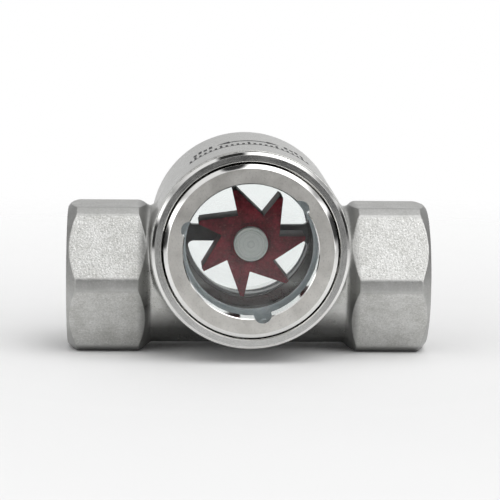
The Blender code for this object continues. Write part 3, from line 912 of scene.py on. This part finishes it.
def make_impeller(look):
    """Seven blades in one star on a round hub, with its moulded edges rounded off."""
    low, high = box_mm("impeller")
    front, back = low[1], low[1] + BLADE_LENGTH
    shape = bmesh.new()
    shape.faces.new([shape.verts.new((x * MM, back * MM, z * MM)) for x, z in blade_outline()])
    lifted = bmesh.ops.extrude_face_region(shape, geom=shape.faces[:])
    bmesh.ops.translate(shape, verts=[v for v in lifted["geom"] if isinstance(v, bmesh.types.BMVert)],
                        vec=(0, (front - back) * MM, 0))
    bmesh.ops.recalc_face_normals(shape, faces=shape.faces)
    mesh = bpy.data.meshes.new("wheel")
    shape.to_mesh(mesh)
    shape.free()
    wheel = blank("wheel_blank", mesh)
    others = (("UNION", rod("hub", HUB_RADIUS, front + 1.0, high[1])),
              ("DIFFERENCE", rod("recess", RECESS_RADIUS, front - 1.0, front + RECESS_DEPTH)),
              ("DIFFERENCE", rod("bore", HUB_BORE, front - 2.0, high[1] + 1.0)))
    for operation, other in others:
        cut = wheel.modifiers.new(other.name, "BOOLEAN")
        cut.operation = operation
        cut.object = other
    edge = wheel.modifiers.new("edges", "BEVEL")
    edge.width = 0.14 * MM
    edge.segments = 2
    edge.limit_method = "ANGLE"
    edge.angle_limit = radians(30)
    made = bpy.data.meshes.new_from_object(wheel.evaluated_get(bpy.context.evaluated_depsgraph_get()))
    for thing in [wheel] + [other for _, other in others]:
        bpy.data.objects.remove(thing)
    made.shade_smooth()
    made.set_sharp_from_angle(angle=radians(32))
    finish("impeller_wheel", made, look, "rotor", ["impeller"])


# ------------------------------------------------------------------- the marks

MARK_DEPTH = 0.1


def barrel_patch(columns):
    """A thin solid on the barrel from (along the arc, low y, high y) columns, as (points, faces)."""
    points, faces = [], []
    for along, low, high in columns:
        angle = pi / 2 - along / BARREL_RADIUS
        foot = BARREL_RADIUS - MARK_DEPTH
        for radius, y in ((foot, low), (BARREL_RADIUS, low), (BARREL_RADIUS, high), (foot, high)):
            points.append((radius * cos(angle) * MM, y * MM, (WINDOW_Z + radius * sin(angle)) * MM))
    for i in range(len(columns) - 1):
        a, b = 4 * i, 4 * i + 4
        faces += [(a + j, a + (j + 1) % 4, b + (j + 1) % 4, b + j) for j in range(4)]
    end = 4 * len(columns) - 4
    return points, faces + [(3, 2, 1, 0), (end, end + 1, end + 2, end + 3)]


def strip(start, end, low, high):
    """Columns of a plain strip, close enough to follow the barrel."""
    count = max(1, ceil(abs(end - start) / 0.7))
    return [(start + (end - start) * i / count, low, high) for i in range(count + 1)]


def arrow_head(point, base, middle, half):
    """Columns of a triangle, from its point to its base, close enough to follow the barrel."""
    steps = 6
    columns = []
    for i in range(steps + 1):
        share = i / steps
        reach = half * max(share, 0.02)
        columns.append((point + (base - point) * share, middle - reach, middle + reach))
    return columns


def make_marks(look):
    """A double arrow for the flow with bars beside it, over a row of ticks: no lettering."""
    arrow_y, tip, base, half, shaft = 0.0, 7.0, 4.2, 2.3, 0.75
    seam = 0.01  # between the shaft and a head
    columns = arrow_head(-tip, -base, arrow_y, half)
    columns += strip(seam - base, base - seam, arrow_y - shaft, arrow_y + shaft)
    columns += reversed(arrow_head(tip, base, arrow_y, half))
    patches = [columns]

    bars, first_bar, bar_pitch, bar_half, bar_drop = 4, 8.6, 1.3, 0.4, 1.4
    for side in (-1, 1):
        for i in range(bars):
            middle = side * (first_bar + bar_pitch * i)
            top = arrow_y + half - bar_drop * (i % 2)
            patches.append(strip(middle - bar_half, middle + bar_half, arrow_y - half, top))

    scale_y, line_y, line_half = -8.3, -8.9, 0.3
    ticks, tick_pitch, tick_half, short, tall = 11, 1.25, 0.28, 2.8, 5.0
    for i in range(-ticks, ticks + 1):
        top = scale_y + (short if i % 5 else tall)
        patches.append(strip(tick_pitch * i - tick_half, tick_pitch * i + tick_half, scale_y, top))
    reach = tick_pitch * ticks + 0.45
    patches.append(strip(-reach, reach, line_y - line_half, line_y + line_half))

    points, faces = [], []
    for patch in patches:
        more_points, more_faces = barrel_patch(patch)
        faces += [tuple(len(points) + i for i in face) for face in more_faces]
        points += more_points
    mesh = bpy.data.meshes.new("etched_marks")
    mesh.from_pydata(points, [], faces)
    shape = bmesh.new()
    shape.from_mesh(mesh)
    bmesh.ops.recalc_face_normals(shape, faces=shape.faces)
    shape.to_mesh(mesh)
    shape.free()
    finish("etched_marks", mesh, look, "housing")


# --------------------------------------------------------------------- studio


def make_floor():
    """A white table that fades into the backdrop, so that no horizon shows."""
    shape = bmesh.new()
    bmesh.ops.create_circle(shape, cap_ends=True, segments=96, radius=FLOOR_RADIUS)
    mesh = bpy.data.meshes.new("floor")
    shape.to_mesh(mesh)
    shape.free()
    floor = bpy.data.objects.new("floor", mesh)
    bpy.context.scene.collection.objects.link(floor)
    n = Nodes("floor_white")
    cloud = n.noise(60.0, detail=2.0)
    away = n.add("ShaderNodeVectorMath", operation="LENGTH")
    n.link(n.position(), away.inputs[0])
    n.set(Base_Color=n.mix(cloud, (0.945, 0.945, 0.945), (0.97, 0.97, 0.97)),
          Roughness=0.8, Specular_IOR_Level=0.2,
          Alpha=n.spread(away.outputs["Value"], FLOOR_RADIUS * 0.25, FLOOR_RADIUS * 0.98, 1.0, 0.0))
    mesh.materials.append(n.material)
    floor.location.z = -0.0001  # just clear of the casting's flats


# Soft lights of the studio: direction, angle of full strength, angle of none, strength
SOFTBOXES = (
    ((0.38, -0.45, 0.82), 14, 36, 1.65),
    ((-0.50, -0.34, 0.80), 12, 32, 0.47),
    ((0.22, 0.52, 0.84), 10, 34, 0.50),
    ((0.47, -0.82, 0.33), 7, 21, 1.15),
    ((-0.47, -0.82, 0.33), 7, 21, 1.15),
    ((0.05, 0.0, 1.0), 10, 30, 0.55),
    ((0.93, -0.32, 0.18), 9, 26, 1.60),
    ((-0.93, -0.32, 0.18), 9, 26, 1.60),
    ((0.05, 0.98, -0.14), 12, 24, 0.60),
)
# Dark cards: direction, angle of full effect, angle of none, share of the light they take
CARDS = (
    ((0.0, -1.0, -0.10), 9, 24, 0.90),
    ((-1.0, -0.06, 0.04), 5, 13, 0.97),
    ((1.0, -0.06, 0.16), 6, 15, 0.97),
    ((-0.20, -0.13, 0.97), 7, 12, 0.97),
)


def make_world():
    """White to the camera; to all else a studio with soft lights and a dark side behind the camera."""
    world = bpy.data.worlds.new("studio")
    bpy.context.scene.world = world
    world.use_nodes = True
    tree = world.node_tree
    tree.nodes.clear()
    place = tree.nodes.new("ShaderNodeTexCoord").outputs["Generated"]

    def calculate(operation, first, second):
        node = tree.nodes.new("ShaderNodeMath")
        node.operation = operation
        for socket, value in zip(node.inputs, (first, second)):
            if isinstance(value, bpy.types.NodeSocket):
                tree.links.new(value, socket)
            else:
                socket.default_value = value
        return node.outputs[0]

    def patch(direction, inner, outer, strength):
        """Strength within the inner angle of a direction, falling to nothing at the outer one."""
        dot = tree.nodes.new("ShaderNodeVectorMath")
        dot.operation = "DOT_PRODUCT"
        tree.links.new(place, dot.inputs[0])
        dot.inputs[1].default_value = Vector(direction).normalized()
        fall = tree.nodes.new("ShaderNodeMapRange")
        fall.interpolation_type = "SMOOTHSTEP"
        tree.links.new(dot.outputs["Value"], fall.inputs["Value"])
        fall.inputs["From Min"].default_value = cos(radians(outer))
        fall.inputs["From Max"].default_value = cos(radians(inner))
        fall.inputs["To Max"].default_value = strength
        return fall.outputs["Result"]

    split = tree.nodes.new("ShaderNodeSeparateXYZ")
    tree.links.new(place, split.inputs[0])
    depth = tree.nodes.new("ShaderNodeMapRange")
    tree.links.new(split.outputs["Y"], depth.inputs["Value"])
    for key, value in (("From Min", -1.0), ("From Max", 0.8), ("To Min", 0.30), ("To Max", 0.46)):
        depth.inputs[key].default_value = value
    total = depth.outputs["Result"]
    for softbox in SOFTBOXES:
        total = calculate("ADD", total, patch(*softbox))
    for card in CARDS:
        total = calculate("MULTIPLY", total, calculate("SUBTRACT", 1.0, patch(*card)))
    studio = tree.nodes.new("ShaderNodeBackground")
    studio.inputs["Color"].default_value = (1, 1, 1, 1)
    tree.links.new(total, studio.inputs["Strength"])
    white = tree.nodes.new("ShaderNodeBackground")
    white.inputs["Color"].default_value = (1, 1, 1, 1)
    path = tree.nodes.new("ShaderNodeLightPath")
    mix = tree.nodes.new("ShaderNodeMixShader")
    tree.links.new(path.outputs["Is Camera Ray"], mix.inputs["Fac"])
    tree.links.new(studio.outputs[0], mix.inputs[1])
    tree.links.new(white.outputs[0], mix.inputs[2])
    out = tree.nodes.new("ShaderNodeOutputWorld")
    tree.links.new(mix.outputs[0], out.inputs["Surface"])


def make_camera():
    """A long lens, a little to the left of the front and a little above it."""
    azimuth, elevation, roll = radians(-2.04), radians(7.45), radians(0.565)
    distance = 0.575
    target = Vector((0.00065, 0.0, 0.0216))
    data = bpy.data.cameras.new("camera")
    data.sensor_width = 36.0
    data.lens = 184.6
    data.clip_end = 50.0
    camera = bpy.data.objects.new("camera", data)
    bpy.context.scene.collection.objects.link(camera)
    away = Vector((sin(azimuth) * cos(elevation), -cos(azimuth) * cos(elevation), sin(elevation)))
    camera.location = target + distance * away
    aim = (-away).to_track_quat("-Z", "Y").to_matrix()
    camera.rotation_euler = (aim @ Matrix.Rotation(roll, 3, "Z")).to_euler()
    bpy.context.scene.camera = camera


def make_studio():
    """The floor and the light, shown without any film-like curve."""
    make_floor()
    make_world()
    view = bpy.context.scene.view_settings
    view.view_transform = "Standard"
    view.look = "None"


def make_pieces():
    """Every piece with its look, from the casting inwards, and then the studio round them."""
    rim = turned_steel("rim_steel", WINDOW_Z, tones=((0.46, 0.46, 0.45), (0.58, 0.58, 0.57)),
                       roughness=(0.22, 0.32), lines=0.004, painted_edge_highlight=True)
    nut = turned_steel("turned_steel", WINDOW_Z, tones=((0.565, 0.55, 0.52), (0.755, 0.74, 0.705)),
                       roughness=(0.34, 0.44), lines=0.003, painted_edge_highlight=True)
    bright = turned_steel("bright_steel", WINDOW_Z, tones=((0.50, 0.50, 0.49), (0.62, 0.62, 0.61)),
                          roughness=(0.2, 0.3), lines=0.003)
    threaded = turned_steel("threaded_steel", FLOW_Z, along_x=True, roughness=(0.2, 0.32), lines=0.003,
                            tones=((0.48, 0.48, 0.47), (0.6, 0.6, 0.59)))
    gasket, glass = gasket_white(), window_glass()
    make_casting(cast_steel())
    make_marks(etched_mark())
    for name, side in (("front_rim", -1), ("rear_rim", 1)):
        make_rim(name, side, rim)
    for name, side in (("left_port_thread", -1), ("right_port_thread", 1)):
        make_port_thread(name, side, threaded)
    for end in ("front", "rear"):
        make_ring_nut(end, nut)
        make_window(end, glass, gasket, bright)
    make_carrier(stamped_steel())
    make_pin(pin_steel())
    make_small_parts(gasket, bright, bush_black())
    make_impeller(impeller_red())
    make_studio()


make_pieces()
make_camera()
